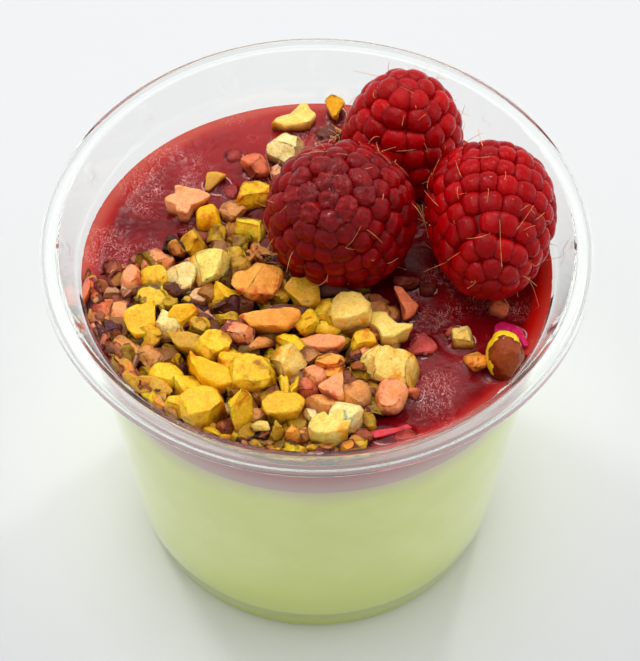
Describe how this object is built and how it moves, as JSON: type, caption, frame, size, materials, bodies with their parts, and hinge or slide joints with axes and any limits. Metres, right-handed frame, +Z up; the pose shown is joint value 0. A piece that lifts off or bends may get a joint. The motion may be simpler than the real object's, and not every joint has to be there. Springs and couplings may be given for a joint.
{
  "type": "panna cotta",
  "caption": "Set cream dessert in a clear tapered cup with a flanged rim, topped with a berry jelly layer, chopped nuts and whole berries.",
  "frame": {"origin": "centre of the cup's foot, on the surface it stands on", "axes": "+Z up the cup's axis, -Y towards the side the toppings face, +X to the right of that view"},
  "size_m": [0.095, 0.095, 0.0895],
  "materials": {
    "clear_plastic": "clear thin moulded PET plastic, glossy",
    "pistachio_cream": "pale green set cream, soft satin, slightly translucent",
    "raspberry_jelly": "dark red seedless berry jelly with a wet, finely rough top",
    "chopped_pistachio": "chopped pistachio kernels, yellow and green flesh with purple and brown skins",
    "raspberry_skin": "ripe raspberry, soft bloom over translucent dark red"
  },
  "bodies": {
    "root": {"cup": "clear_plastic", "panna_cotta": "pistachio_cream", "raspberry_jelly": "raspberry_jelly", "pistachio_heap": "chopped_pistachio", "raspberry_front": "raspberry_skin", "raspberry_back": "raspberry_skin", "raspberry_right": "raspberry_skin"}
  },
  "joints": []
}
